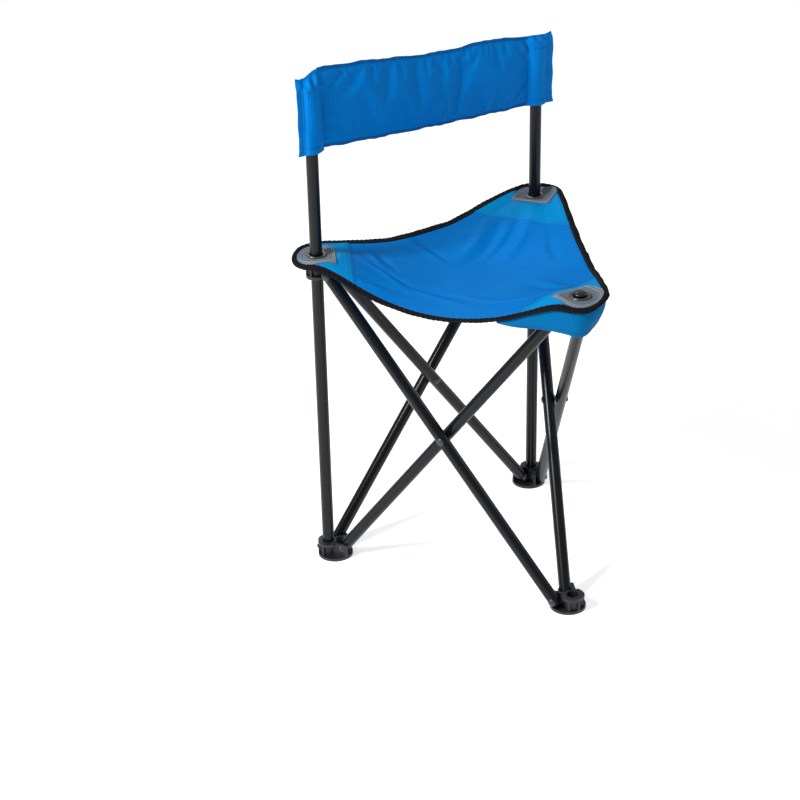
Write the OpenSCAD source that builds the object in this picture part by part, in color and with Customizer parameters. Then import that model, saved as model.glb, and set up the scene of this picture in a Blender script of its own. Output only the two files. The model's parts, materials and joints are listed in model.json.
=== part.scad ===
// Folding three-legged camp stool with a cloth seat and a cloth backrest.
// Six crossed tubes fold between three feet and three hubs; two posts slide up through the rear hubs.
// Millimetres, Z up, front corner towards -Y, floor at Z = 0.

/* [Frame] */
// outside diameter of every tube
tube_d = 16; // [12:0.5:25]
// wall of every tube
tube_wall = 1.2; // [0.8:0.1:2]
// distance from the stool's axis to a post's axis
post_ring_r = 207; // [160:1:260]
// distance from the stool's axis to the middle plane of each crossed pair
pair_apothem = 106; // [80:0.5:140]
// distance between the two tube axes of a crossed pair
pair_gap = 16.87; // [16.5:0.01:20]
// half the distance between a pair's two foot rivets
half_spread = 157.3; // [120:0.1:200]
// height of the foot rivets
foot_pivot_z = 14; // [12:0.5:20]
// height of the hub rivets
hub_pivot_z = 424.4; // [300:0.1:500]
// tube left beyond a rivet at each end
tube_end = 6; // [5:0.5:10]
// height of the posts' top ends
post_top_z = 658; // [560:1:720]

/* [Corner mouldings] */
// diameter of a foot's round plate
plate_d = 47.8; // [40:0.1:60]
// distance from the stool's axis to a plate's centre
plate_ring_r = 197.6; // [150:0.1:240]
// thickness of the round plate
plate_t = 4; // [3:0.5:6]
// full height of a moulding
moulding_h = 22; // [20:1:32]
// outside diameter of the post socket
socket_d = 22; // [20:0.5:26]
// clear bore that a post slides through in a hub
slide_bore_d = 16.8; // [16.4:0.1:18]

/* [Seat] */
// radius of a seat corner around its post
seat_corner_r = 32; // [24:1:40]
// thickness of the seat cloth with its hem
seat_t = 2; // [1:0.5:4]
// height of the cloth over a hub
seat_z = 442.4; // [441:0.1:460]
// sag of the cloth at the stool's axis
sag_middle = 42; // [0:1:70]
// sag of the left front edge
sag_left = 45.5; // [0:0.5:70]
// sag of the right front edge
sag_right = 16; // [0:1:70]
// sag of the rear edge
sag_rear = 18; // [0:0.5:70]
// lift of the rim outside each post
rim_lift = 9; // [0:0.5:12]
// how far the right front edge bows outwards
edge_bow = 11; // [0:0.5:14]
// how far the rim swells there beside the right post
swell_right = 6; // [0:0.5:8]
// how far the rim swells there beside the front corner
swell_front = 4; // [0:0.5:8]
// width of the edge binding
binding_w = 9; // [6:0.5:14]
// side of a square corner patch
patch_side = 50; // [30:1:60]
// drop of the front pocket below the binding
pocket_drop = 32; // [15:1:45]

/* [Backrest] */
// height of the sleeves' lower ends
sleeve_low_z = 577; // [520:1:620]
// height of the left sleeve's upper end
sleeve_top_left = 687; // [600:1:720]
// height of the right sleeve's upper end
sleeve_top_right = 672; // [600:1:720]
// half the width of a sleeve's flattened tunnel
sleeve_half_w = 14.5; // [12:0.5:18]
// width of the sewn fin outside each sleeve
fin_w = 12; // [4:0.5:16]
// angle of the fins towards the front
fin_angle = 10; // [0:1:60]
// how far the panel bows back between the posts
panel_bow = 4; // [0:1:40]
// thickness of the panel
panel_t = 5; // [3:0.5:10]

/* [Fasteners] */
// diameter of a rivet's shank
rivet_d = 5; // [4:0.1:6]
// diameter of a rivet's head
rivet_head_d = 10; // [8:0.5:12]
// height of a rivet's head
rivet_head_h = 2; // [1:0.5:3]
// radial clearance of every turning rivet
rivet_gap = 0.08; // [0.02:0.01:0.1]

/* [Hidden] */
$fn = 48;

left = 150;
front = 270;
right = 30;
side_lf = 210;
side_fr = 330;
side_rl = 90;
root3 = sqrt(3);
seat_apothem = post_ring_r / 2 + seat_corner_r;
// the origin is under the middle of the whole stool's outline
front_reach = post_ring_r + seat_corner_r;
rear_reach = seat_apothem;
shift_y = (front_reach - rear_reach) / 2;
rise = hub_pivot_z - foot_pivot_z;
tilt = atan2(2 * half_spread, rise);
tube_len = norm([2 * half_spread, rise]);
tube_r = tube_d / 2;
outer_n = pair_apothem + pair_gap / 2;
inner_n = pair_apothem - pair_gap / 2;
hub_top_z = hub_pivot_z + foot_pivot_z;
web_t = 4;
web_gap = 0.4;
hole_d = rivet_d + 2 * rivet_gap;
part_gap = 0.1;
post_low_z = plate_t + part_gap;
press_gap = 0.05;
cloth_split = 0.22;
post_x = post_ring_r * cos(right);
post_y = post_ring_r * sin(right);
sleeve_in_r = tube_r + 0.4;
sleeve_out_r = tube_r + 2.5;

// ---- placing ----

module at_corner(a) { translate([0, shift_y, 0]) rotate([0, 0, a]) children(); }

// x runs along the side, y points inwards, z up
module at_side(a) { translate([0, shift_y, 0]) rotate([0, 0, a + 90]) children(); }

// hubs are the foot moulding turned over about the corner's radius
module turned_over() { translate([0, 0, hub_top_z]) rotate([180, 0, 0]) children(); }

// ---- corner mouldings ----

// a corner's two rivet lines, in its own x (outwards) and y
module at_outer_rivet() {
  rotate([0, 0, -60]) translate([outer_n, half_spread, foot_pivot_z]) children();
}
module at_inner_rivet() {
  rotate([0, 0, 60]) translate([inner_n, -half_spread, foot_pivot_z]) children();
}

module web(at_x, y0, y1) {
  translate([at_x, y0, plate_t / 2]) cube([web_t, y1 - y0, moulding_h - plate_t / 2 - 1]);
}

module moulding(bore_d, bore_from) {
  web_low = half_spread - 9;
  web_high = half_spread + 12;
  collar_h = 4;
  collar_r = 15.9;
  difference() {
    union() {
      translate([plate_ring_r, 0, 0]) cylinder(d = plate_d, h = plate_t);
      translate([post_ring_r, 0, 0]) cylinder(d = socket_d, h = moulding_h);
      intersection() {
        translate([plate_ring_r, 0, 0]) cylinder(d = plate_d, h = moulding_h);
        union() {
          rotate([0, 0, -60]) web(outer_n - tube_r - web_gap - web_t, web_low, web_high);
          rotate([0, 0, 60]) web(inner_n + tube_r + web_gap, -web_high, -web_low);
          translate([0, 0, moulding_h - collar_h]) intersection() {
            translate([post_ring_r, 0, 0]) cylinder(r = collar_r, h = collar_h);
            translate([post_ring_r - 7, -collar_r, 0]) cube([40, 2 * collar_r, collar_h]);
          }
          for (s = [-1, 0, 1])
            translate([post_ring_r, 0, 0]) rotate([0, 0, s * 55])
              translate([0, -1.25, plate_t / 2]) cube([15, 2.5, moulding_h - collar_h]);
        }
      }
    }
    translate([post_ring_r, 0, bore_from]) cylinder(d = bore_d, h = moulding_h + 2);
    at_outer_rivet() rotate([0, 90, 0]) cylinder(d = hole_d, h = 40, center = true);
    at_inner_rivet() rotate([0, 90, 0]) cylinder(d = hole_d, h = 40, center = true);
    children();
  }
}

// cross hole for the pin that holds a post in its foot
pin_z = 13.5;
pin_d = 3;
module pin_hole() {
  translate([post_ring_r + tube_r, 0, pin_z]) rotate([0, 90, 0])
    cylinder(d = pin_d + 2 * press_gap, h = 16, center = true);
}

module foot(a) {
  color([0.09, 0.09, 0.1]) at_corner(a)
    moulding(tube_d + 2 * press_gap, plate_t) { if (a != front) pin_hole(); }
}

module hub(a) {
  color([0.09, 0.09, 0.1]) at_corner(a) turned_over()
    moulding(a == front ? knob_shank_d + 2 * press_gap : slide_bore_d, -1) { }
}

// ---- tubes ----

// lean is +1 for a tube that rises towards +x, -1 towards -x
module tube(side, depth, lean) {
  color([0.13, 0.14, 0.155]) at_side(side) translate([-lean * half_spread, -depth, foot_pivot_z])
    rotate([0, lean * tilt, 0]) difference() {
      translate([0, 0, -tube_end]) cylinder(d = tube_d, h = tube_len + 2 * tube_end);
      translate([0, 0, -tube_end - 1])
        cylinder(d = tube_d - 2 * tube_wall, h = tube_len + 2 * tube_end + 2);
      for (z = [0, tube_len / 2, tube_len])
        translate([0, 0, z]) rotate([90, 0, 0]) cylinder(d = hole_d, h = tube_d + 2, center = true);
    }
}

// ---- rivets and washers ----

// a rivet along +z with a domed head at each end
module rivet(grip) {
  translate([0, 0, -grip / 2]) cylinder(d = rivet_d, h = grip);
  for (s = [0, 1]) mirror([0, 0, s]) translate([0, 0, grip / 2]) rivet_head(rivet_head_d, rivet_head_h);
}

module rivet_head(d, h) {
  ball_r = (d * d / 4 + h * h) / (2 * h);
  intersection() {
    cylinder(d = d, h = h);
    translate([0, 0, h - ball_r]) sphere(r = ball_r, $fn = 64);
  }
}

head_gap = 0.12;
cross_grip = pair_gap + tube_d + 2 * head_gap;
corner_grip = tube_d + web_gap + web_t + 2 * head_gap;

module cross_rivet(side) {
  color([0.16, 0.16, 0.17]) at_side(side)
    translate([0, -pair_apothem, foot_pivot_z + rise / 2]) rotate([90, 0, 0]) rivet(cross_grip);
}

washer_t = 0.45;
module cross_washer(side) {
  color([0.5, 0.51, 0.52]) at_side(side)
    translate([0, -outer_n + tube_r + 0.06 + washer_t, foot_pivot_z + rise / 2]) rotate([90, 0, 0])
      difference() {
        cylinder(d = 13, h = washer_t);
        translate([0, 0, -1]) cylinder(d = rivet_d + 0.3, h = washer_t + 2);
      }
}

module corner_rivets() {
  mid = (web_t + web_gap) / 2;
  at_outer_rivet() translate([-mid, 0, 0]) rotate([0, 90, 0]) rivet(corner_grip);
  at_inner_rivet() translate([mid, 0, 0]) rotate([0, 90, 0]) rivet(corner_grip);
}

module foot_rivets(a) { color([0.16, 0.16, 0.17]) at_corner(a) corner_rivets(); }

module hub_rivets(a) { color([0.16, 0.16, 0.17]) at_corner(a) turned_over() corner_rivets(); }

// ---- posts ----

module post(a) {
  color([0.13, 0.14, 0.155]) at_corner(a) difference() {
    translate([post_ring_r, 0, post_low_z]) cylinder(d = tube_d, h = post_top_z - post_low_z);
    translate([post_ring_r, 0, 0]) cylinder(d = tube_d - 2 * tube_wall, h = post_top_z + 1);
    pin_hole();
  }
}

module post_cap(a) {
  plug_h = 12;
  color([0.07, 0.07, 0.08]) at_corner(a) translate([post_ring_r, 0, post_top_z]) {
    translate([0, 0, -plug_h]) cylinder(d = tube_d - 2 * tube_wall - 2 * press_gap, h = plug_h + 1);
    translate([0, 0, part_gap]) rivet_head(tube_d, 4);
  }
}

module post_pin(a) {
  color([0.16, 0.16, 0.17]) at_corner(a) translate([post_ring_r, 0, pin_z]) rotate([0, 90, 0]) {
    translate([0, 0, 5.5]) cylinder(d = pin_d, h = 10);
    translate([0, 0, 14.6]) rivet_head(6, 1.6);
  }
}

// ---- seat cloth ----

function clamp01(x) = max(0, min(1, x));
// the cloth lies level over a hub's plate and falls away beyond it
flat_r = 22;
ramp_len = 152;
function ramp(d) = 1 - pow(1 - clamp01((d - flat_r) / ramp_len), 2);
function plate_dist(p, a) = norm(p - plate_ring_r * [cos(a), sin(a)]);
function corner_dist(p, a) = norm(p - post_ring_r * [cos(a), sin(a)]);
// how far a point lies towards angle a, and whether it is in the round tip of the corner there
function along(p, a) = p[0] * cos(a) + p[1] * sin(a);
function in_tip(p, a) = along(p, a) - post_ring_r > corner_dist(p, a) / 2;
// distance of a point inside the rim
function rim_gap(p) =
  in_tip(p, left) ? seat_corner_r - corner_dist(p, left)
  : in_tip(p, front) ? seat_corner_r - corner_dist(p, front)
  : in_tip(p, right) ? seat_corner_r - corner_dist(p, right)
  : seat_apothem - max(along(p, side_lf), along(p, side_fr), along(p, side_rl));
// the rim turns up round the corners, but hardly along the left front edge
function lift(p, d) = rim_lift * pow(clamp01((d - 12) / 16), 2) * (1 - clamp01((d - 30) / 100))
  * (1 - clamp01((rim_gap(p) - 4) / 22)) * (1 - 0.9 * clamp01((along(p, side_lf) - 95) / 35));

function side_pull(p, a) = pow(clamp01(along(p, a) / seat_apothem), 2);

// height of the cloth's top face at a point of the plan
function cloth_z(p) =
  let (d = min(corner_dist(p, left), corner_dist(p, front), corner_dist(p, right)),
       sag = sag_middle + (sag_left - sag_middle) * side_pull(p, side_lf)
             + (sag_right - sag_middle) * side_pull(p, side_fr)
             + (sag_rear - sag_middle) * side_pull(p, side_rl))
  seat_z + seat_t + lift(p, d)
    - sag * ramp(plate_dist(p, left)) * ramp(plate_dist(p, front)) * ramp(plate_dist(p, right));

function turn(p, a) = [p[0] * cos(a) - p[1] * sin(a), p[0] * sin(a) + p[1] * cos(a)];

// a third of the seat's outline in its corner's own x and y: straight, round, straight; u runs 0 to 1
straight_len = post_ring_r / 2 * root3 - cloth_split;
// the side between the right and front corners bows outwards, and their tips swell to meet it
function bowed(end, share) = end + (edge_bow - end) * (1 - share * share);
function tip_swell(a, b) =
  a == right && b < 0 ? swell_right * pow(sin(1.5 * b), 2)
  : a == front && b > 0 ? swell_front * pow(sin(1.5 * b), 2) : 0;
function outline(a, u, inset) =
  let (r = seat_corner_r - inset, n = seat_apothem - inset, bend = 0.32)
  u < bend ? turn([n + (a == right ? bowed(swell_right, u / bend) : 0),
      cloth_split + (u / bend) * straight_len], -60)
  : u > 1 - bend ? turn([n + (a == front ? bowed(swell_front, (1 - u) / bend) : 0),
      -cloth_split - ((1 - u) / bend) * straight_len], 60)
  : let (b = -60 + 120 * (u - bend) / (1 - 2 * bend), swollen = r + tip_swell(a, b))
    [post_ring_r + swollen * cos(b), swollen * sin(b)];

// closed sheet between two grids of points, rows of count nu
function sheet_faces(nu, nv) =
  let (m = nu * nv)
  concat(
    [for (j = [0 : nv - 2], i = [0 : nu - 2]) let (k = j * nu + i) [k, k + nu, k + 1]],
    [for (j = [0 : nv - 2], i = [0 : nu - 2]) let (k = j * nu + i) [k + 1, k + nu, k + nu + 1]],
    [for (j = [0 : nv - 2], i = [0 : nu - 2]) let (k = m + j * nu + i) [k, k + 1, k + nu]],
    [for (j = [0 : nv - 2], i = [0 : nu - 2]) let (k = m + j * nu + i) [k + 1, k + nu + 1, k + nu]],
    [for (i = [0 : nu - 2]) [i, i + 1, m + i]],
    [for (i = [0 : nu - 2]) [i + 1, m + i + 1, m + i]],
    [for (i = [0 : nu - 2]) let (k = (nv - 1) * nu + i) [k, m + k, k + 1]],
    [for (i = [0 : nu - 2]) let (k = (nv - 1) * nu + i) [k + 1, m + k, m + k + 1]],
    [for (j = [0 : nv - 2]) let (k = j * nu) [k, m + k, k + nu]],
    [for (j = [0 : nv - 2]) let (k = j * nu) [k + nu, m + k, m + k + nu]],
    [for (j = [0 : nv - 2]) let (k = j * nu + nu - 1) [k, k + nu, m + k]],
    [for (j = [0 : nv - 2]) let (k = j * nu + nu - 1) [k + nu, m + k + nu, m + k]]);

module sheet(top, low, nu, nv) {
  polyhedron(points = concat(top, low), faces = sheet_faces(nu, nv), convexity = 6);
}

function cloth_point(p, a, down) = [p[0], p[1], cloth_z(turn(p, a)) - down];

cloth_nu = 41;
cloth_nv = 15;
function panel_plan(a, u, v) = let (o = outline(a, u, binding_w + part_gap), c = [cloth_split * 2 / root3, 0])
  c + (o - c) * (0.004 + 0.996 * v);

module seat_sector(a) {
  grid = [for (j = [0 : cloth_nv - 1], i = [0 : cloth_nu - 1])
    panel_plan(a, i / (cloth_nu - 1), 1 - pow(1 - j / (cloth_nv - 1), 1.9))];
  color([0.0, 0.14, 0.56]) at_corner(a) difference() {
    sheet([for (p = grid) cloth_point(p, a, 0)], [for (p = grid) cloth_point(p, a, seat_t)],
      cloth_nu, cloth_nv);
    translate([post_ring_r, 0, seat_z - 20]) cylinder(d = slide_bore_d + 0.8, h = 60);
  }
}

module binding(a) {
  rise_t = 0.8;
  grid = [for (j = [0 : 2], i = [0 : cloth_nu - 1])
    outline(a, i / (cloth_nu - 1), binding_w * (1 - j / 2))];
  color([0.03, 0.03, 0.04]) at_corner(a)
    sheet([for (p = grid) cloth_point(p, a, -rise_t)], [for (p = grid) cloth_point(p, a, seat_t + rise_t)],
      cloth_nu, 3);
}

module patch(a) {
  lower = 1;
  upper = 1.8;
  nu = 13;
  reach = seat_corner_r - binding_w - 0.6;
  // the outer edge follows the round tip
  function pulled(x, y) = let (r = norm([x, y])) x > -4 && r > reach ? [x, y] * (reach / r) : [x, y];
  grid = [for (j = [0 : nu - 1], i = [0 : nu - 1])
    pulled(patch_side * (0.86 * j / (nu - 1) - 0.5), -patch_side * (i / (nu - 1) - 0.5))
      + [post_ring_r, 0]];
  color([0.2, 0.22, 0.25]) at_corner(a) difference() {
    sheet([for (p = grid) cloth_point(p, a, -upper)], [for (p = grid) cloth_point(p, a, -lower)], nu, nu);
    translate([post_ring_r, 0, seat_z - 20]) cylinder(d = slide_bore_d + 0.8, h = 60);
  }
}

module grommet(a) {
  base_z = seat_z + seat_t + 2.3;
  color([0.32, 0.3, 0.27]) at_corner(a) translate([post_ring_r, 0, base_z]) rotate_extrude()
    translate([11.2, 0]) scale([2.4, 1.4]) intersection() {
      circle(r = 1);
      translate([-1, 0]) square([2, 1]);
    }
}

knob_shank_d = 8;
module front_knob() {
  dome_d = 17;
  dome_z = seat_z + seat_t + 3.9;
  shank_z = hub_top_z - moulding_h + 2;
  color([0.05, 0.05, 0.06]) at_corner(front) translate([post_ring_r, 0, 0]) {
    translate([0, 0, shank_z]) cylinder(d = knob_shank_d, h = dome_z + 1 - shank_z);
    translate([0, 0, dome_z]) rivet_head(dome_d, 7);
  }
}

module front_pocket() {
  nu = 33;
  thick = 1.6;
  inset = 3;
  u0 = 0.16;
  span = 0.68;
  function drop(i) = pocket_drop * (0.35 + 0.65 * sin(180 * i / (nu - 1)));
  function wall(i, j, inwards) =
    let (p = outline(front, u0 + span * i / (nu - 1), inset + inwards),
         top = cloth_z(turn(p, front)) - seat_t - 1.2)
    [p[0], p[1], top - drop(i) * j / 4];
  color([0.0, 0.2, 0.62]) at_corner(front)
    sheet([for (j = [0 : 4], i = [0 : nu - 1]) wall(i, j, thick)],
      [for (j = [0 : 4], i = [0 : nu - 1]) wall(i, j, 0)], nu, 5);
}

// ---- backrest ----

// s is -1 for the left post, +1 for the right
module at_post(s) { translate([s * post_x, shift_y + post_y, 0]) children(); }

function sleeve_top(s) = s < 0 ? sleeve_top_left : sleeve_top_right;

module sleeve(s) {
  fin_t = 2.4;
  h = sleeve_top(s) - sleeve_low_z;
  offset = sleeve_half_w - sleeve_out_r;
  fin_reach = sleeve_half_w + fin_w;
  color([0.0, 0.15, 0.58]) at_post(s) rotate([0, 0, -s * fin_angle]) difference() {
    union() {
      hull() for (x = [-offset, offset]) translate([x, 0, sleeve_low_z]) cylinder(r = sleeve_out_r, h = h);
      translate([s * fin_reach / 2, 0, sleeve_low_z + h / 2]) cube([fin_reach, fin_t, h], center = true);
    }
    translate([0, 0, sleeve_low_z - 1]) cylinder(r = sleeve_in_r, h = h - 2);
  }
}

// bow of the panel towards the back at a share w of the way to the post
function bow(w) = panel_bow * (1 - w * w);
// the lower edge hangs level with the right sleeve's end and a little above the left one's
panel_low_left = 9;
panel_mid_top = (sleeve_top_left + sleeve_top_right) / 2;
function panel_low(s, w) = sleeve_low_z + panel_low_left * (1 - s * w) / 2;
function panel_top(s, w) = panel_mid_top + (sleeve_top(s) - panel_mid_top) * w;

module backrest(s) {
  nu = 19;
  far = post_x - sleeve_half_w - 0.4;
  function place(w, v, off) = [s * (0.2 + (far - 0.2) * w), shift_y + post_y + bow(w) + off,
    panel_low(s, w) + (panel_top(s, w) - panel_low(s, w)) * v];
  grid = [for (j = [0 : 8], i = [0 : nu - 1]) [i / (nu - 1), j / 8]];
  color([0.0, 0.15, 0.58])
    sheet([for (g = grid) place(g[0], g[1], s * panel_t / 2)],
      [for (g = grid) place(g[0], g[1], -s * panel_t / 2)], nu, 9);
}

foot(left);  // foot_left
foot(front);  // foot_front
foot(right);  // foot_right
hub(left);  // hub_left
hub(front);  // hub_front
hub(right);  // hub_right
tube(side_lf, outer_n, -1);  // tube_outer_lf
tube(side_lf, inner_n, 1);  // tube_inner_lf
tube(side_fr, outer_n, -1);  // tube_outer_fr
tube(side_fr, inner_n, 1);  // tube_inner_fr
tube(side_rl, outer_n, -1);  // tube_outer_rl
tube(side_rl, inner_n, 1);  // tube_inner_rl
cross_rivet(side_lf);  // cross_rivet_lf
cross_rivet(side_fr);  // cross_rivet_fr
cross_rivet(side_rl);  // cross_rivet_rl
cross_washer(side_lf);  // cross_washer_lf
cross_washer(side_fr);  // cross_washer_fr
cross_washer(side_rl);  // cross_washer_rl
foot_rivets(left);  // foot_rivets_left
foot_rivets(front);  // foot_rivets_front
foot_rivets(right);  // foot_rivets_right
hub_rivets(left);  // hub_rivets_left
hub_rivets(front);  // hub_rivets_front
hub_rivets(right);  // hub_rivets_right
post(left);  // post_left
post(right);  // post_right
post_cap(left);  // post_cap_left
post_cap(right);  // post_cap_right
post_pin(left);  // post_pin_left
post_pin(right);  // post_pin_right
seat_sector(left);  // seat_left
seat_sector(front);  // seat_front
seat_sector(right);  // seat_right
binding(left);  // binding_left
binding(front);  // binding_front
binding(right);  // binding_right
patch(left);  // patch_left
patch(front);  // patch_front
patch(right);  // patch_right
grommet(left);  // grommet_left
grommet(front);  // grommet_front
grommet(right);  // grommet_right
front_knob();
front_pocket();
sleeve(-1);  // sleeve_left
sleeve(1);  // sleeve_right
backrest(-1);  // backrest_left
backrest(1);  // backrest_right
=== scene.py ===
"""Folding camp stool: black tube frame, slung blue seat with black binding, blue backrest on two posts."""
import json
import math
import bmesh
import bpy
import numpy as np
from mathutils import Matrix


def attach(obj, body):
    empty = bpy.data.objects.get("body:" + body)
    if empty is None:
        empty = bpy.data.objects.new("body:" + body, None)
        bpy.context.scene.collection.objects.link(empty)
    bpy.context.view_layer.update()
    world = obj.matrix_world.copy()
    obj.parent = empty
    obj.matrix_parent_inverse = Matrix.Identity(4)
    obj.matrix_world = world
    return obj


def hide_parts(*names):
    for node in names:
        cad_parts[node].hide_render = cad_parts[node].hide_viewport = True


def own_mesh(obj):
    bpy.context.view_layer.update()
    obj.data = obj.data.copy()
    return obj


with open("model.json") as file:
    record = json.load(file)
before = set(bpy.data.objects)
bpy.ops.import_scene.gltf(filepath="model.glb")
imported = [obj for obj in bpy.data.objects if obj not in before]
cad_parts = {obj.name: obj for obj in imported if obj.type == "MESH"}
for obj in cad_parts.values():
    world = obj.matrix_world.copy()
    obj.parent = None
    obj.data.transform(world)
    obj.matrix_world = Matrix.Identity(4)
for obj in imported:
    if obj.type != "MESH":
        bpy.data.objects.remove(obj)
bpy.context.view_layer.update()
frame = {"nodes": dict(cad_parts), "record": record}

# ---- the stool's own measures, in metres ----
# the posts stand on a ring about the middle, and the cloth's corners are round about them
POST_RING = 0.207
CORNER_R = 0.032
SEAT_APOTHEM = POST_RING / 2 + CORNER_R
SHIFT_Y = (POST_RING + CORNER_R - SEAT_APOTHEM) / 2
CORNERS = {"left": 150, "front": 270, "right": 30}
SIDES = {"lf": 210, "fr": 330, "rl": 90}
# how far the seat hangs at the middle of each side and at its own middle
SAGS = {"lf": 0.0455, "fr": 0.016, "rl": 0.018}
SAG_MIDDLE = 0.042
SEAT_TOP = 0.4444
# the rim turns up by the lift: start and length of its rise off the post, of its fading further out, of its
# fading near the edge, and of its fading across the left front side
RIM_LIFT = 0.009
LIFT_RISE, LIFT_FADE = (0.012, 0.016), (0.030, 0.100)
LIFT_EDGE, LIFT_LF = (0.004, 0.022), (0.095, 0.035)
# where a side bows outwards: by how much at its middle and at its end
EDGE_BOW = {("right", "a"): (0.011, 0.006), ("front", "d"): (0.011, 0.004)}
# the cloth lies level on each hub's plate, and slopes away over the ramp beside it
PLATE_RING = 0.1976
PLATE_FLAT = 0.022
RAMP = 0.152
BINDING_W = 0.009
SEAM_IN = {"left": 0.043, "front": 0.046, "right": 0.062}
CLOTH_DOWN, CLOTH_T = 0.0006, 0.0009
CORE_R = CORNER_R - BINDING_W + 0.002
# a corner's cloth is four fans, each over a share of its width
FANS = {"a": (-1.0, -0.5), "b": (-0.5, 0.0), "c": (0.0, 0.5), "d": (0.5, 1.0)}
EYELET_R = 0.0086
POST_X = POST_RING * math.cos(math.radians(30))
POST_Y = SHIFT_Y + POST_RING * 0.5
SLEEVE_LOW = 0.577
SLEEVE_TOP = {"left": 0.687, "right": 0.672}


def unit(degrees):
    """Plan direction at an angle in degrees."""
    a = np.radians(degrees)
    return np.stack([np.cos(a), np.sin(a)], -1)


# ---- building meshes ----

def added(name, data):
    """A new object in the scene."""
    obj = bpy.data.objects.new(name, data)
    bpy.context.scene.collection.objects.link(obj)
    return obj


class Piece:
    """Collects grids and loose shapes, then becomes one mesh object at the origin."""

    def __init__(self, name):
        self.name, self.v, self.f, self.m, self.uv, self.painted_light_share = name, [], [], [], [], []
        self.count = 0

    def add(self, verts, faces, uv, slot=0, painted_light_share=None):
        self.v.append(verts)
        self.uv.append(uv)
        self.painted_light_share.append(np.zeros(len(verts)) if painted_light_share is None else painted_light_share)
        for block in faces:
            self.f.extend((np.asarray(block) + self.count).tolist())
            self.m.extend([slot] * len(block))
        self.count += len(verts)

    def make(self, materials, body, sharp=35, replaces=(), slot=None):
        v, uv = np.concatenate(self.v), np.concatenate(self.uv)
        mesh = bpy.data.meshes.new(self.name)
        mesh.from_pydata(v.tolist(), [], self.f)
        for m in materials:
            mesh.materials.append(m)
        mesh.polygons.foreach_set("material_index", np.array(self.m, np.int32))
        loops = np.zeros(len(mesh.loops), np.int32)
        mesh.loops.foreach_get("vertex_index", loops)
        layer = mesh.uv_layers.new(name="cloth")
        layer.data.foreach_set("uv", uv[loops].astype(np.float32).ravel())
        # the panel attribute marks where the cloth takes painted light: sheen on the seat's corner panels,
        # shade along the backrest's hems
        painted_light_mask = mesh.attributes.new("panel", "FLOAT", "POINT")
        painted_light_mask.data.foreach_set("value", np.concatenate(self.painted_light_share).astype(np.float32))
        mesh.polygons.foreach_set("use_smooth", np.ones(len(mesh.polygons), bool))
        mesh.update()
        mesh.set_sharp_from_angle(angle=math.radians(sharp))
        obj = added(self.name, mesh)
        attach(obj, body)
        if replaces:
            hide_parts(*replaces)
        return obj


def quads(rows, cols, wrap=False):
    """Faces of a grid of rows by cols points, counted row by row, wrapping the columns if asked."""
    r = np.arange(rows - 1)[:, None]
    c = np.arange(cols if wrap else cols - 1)[None, :]
    n = (c + 1) % cols
    return np.stack([r * cols + c, r * cols + n, (r + 1) * cols + n, (r + 1) * cols + c], -1).reshape(-1, 4)


def slab(top, low):
    """Closed sheet between two grids of points: the upper faces, the lower ones turned over, and a rim."""
    rows, cols = top.shape[:2]
    k = rows * cols
    face = quads(rows, cols)
    i = np.arange(k).reshape(rows, cols)
    ring = np.concatenate([i[0, :-1], i[:-1, -1], i[-1, :0:-1], i[:0:-1, 0]])
    nxt = np.roll(ring, -1)
    rim = np.stack([ring, ring + k, nxt + k, nxt], -1)
    v = np.concatenate([top.reshape(-1, 3), low.reshape(-1, 3)])
    a, b, d = top[0, 0], top[0, 1], top[1, 0]
    up = np.cross(b - a, d - a)[2] > 0
    faces = [face, face[:, ::-1] + k, rim] if up else [face[:, ::-1], face + k, rim[:, ::-1]]
    return v, faces


def right_way(v, faces):
    """Turns all faces over if the closed shape's signed volume is negative."""
    vol = 0.0
    for block in faces:
        block = np.asarray(block)
        a = v[block[:, 0]]
        for i in range(1, block.shape[1] - 1):
            vol += np.einsum("ij,ij->i", a, np.cross(v[block[:, i]], v[block[:, i + 1]])).sum()
    return faces if vol > 0 else [np.asarray(b)[:, ::-1] for b in faces]


def run_length(line):
    """Distance along a line at each of its points."""
    return np.concatenate([[0], np.cumsum(np.linalg.norm(np.diff(line, axis=0), axis=1))])


def spaced(line, pitch):
    """Points and unit tangents at an even pitch along a polyline."""
    s = run_length(line)
    at = np.arange(pitch / 2, s[-1], pitch)
    pts = np.stack([np.interp(at, s, line[:, k]) for k in range(3)], -1)
    ahead = np.stack([np.interp(np.minimum(at + 1e-3, s[-1]), s, line[:, k]) for k in range(3)], -1)
    back = np.stack([np.interp(np.maximum(at - 1e-3, 0), s, line[:, k]) for k in range(3)], -1)
    tangent = ahead - back
    return pts, tangent / np.linalg.norm(tangent, axis=1)[:, None]


# a stitch's half length, half width and half height
STITCH = (0.0013, 0.00032, 0.00034)


def stitches(piece, line, normal=(0, 0, 1), pitch=0.0034):
    """A row of stitches in the piece's second material: small blunt ellipsoids lying along the line."""
    pts, along = spaced(line, pitch)
    if len(pts) == 0:
        return
    normal = np.broadcast_to(np.asarray(normal, float), pts.shape)
    side = np.cross(normal, along)
    side /= np.linalg.norm(side, axis=1)[:, None]
    up = np.cross(along, side)
    ring = np.radians(np.arange(0, 360, 60))
    rows = np.array([[-1, 0.25], [-0.6, 0.85], [0, 1], [0.6, 0.85], [1, 0.25]])
    t = np.stack([np.repeat(rows[:, 0], 6) * STITCH[0],
                  np.outer(rows[:, 1], np.cos(ring)).ravel() * STITCH[1],
                  np.outer(rows[:, 1], np.sin(ring)).ravel() * STITCH[2]], -1)
    v = pts[:, None] + t[None, :, :1] * along[:, None] + t[None, :, 1:2] * side[:, None] \
        + t[None, :, 2:] * up[:, None]
    base = [quads(5, 6, True), np.arange(6)[None, ::-1], 24 + np.arange(6)[None, :]]
    shift = (np.arange(len(pts)) * 30)[:, None, None]
    faces = [(b[None] + shift).reshape(-1, b.shape[1]) for b in base]
    v = v.reshape(-1, 3)
    piece.add(v, right_way(v, faces), v[:, :2], 1)


# ---- materials ----

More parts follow.
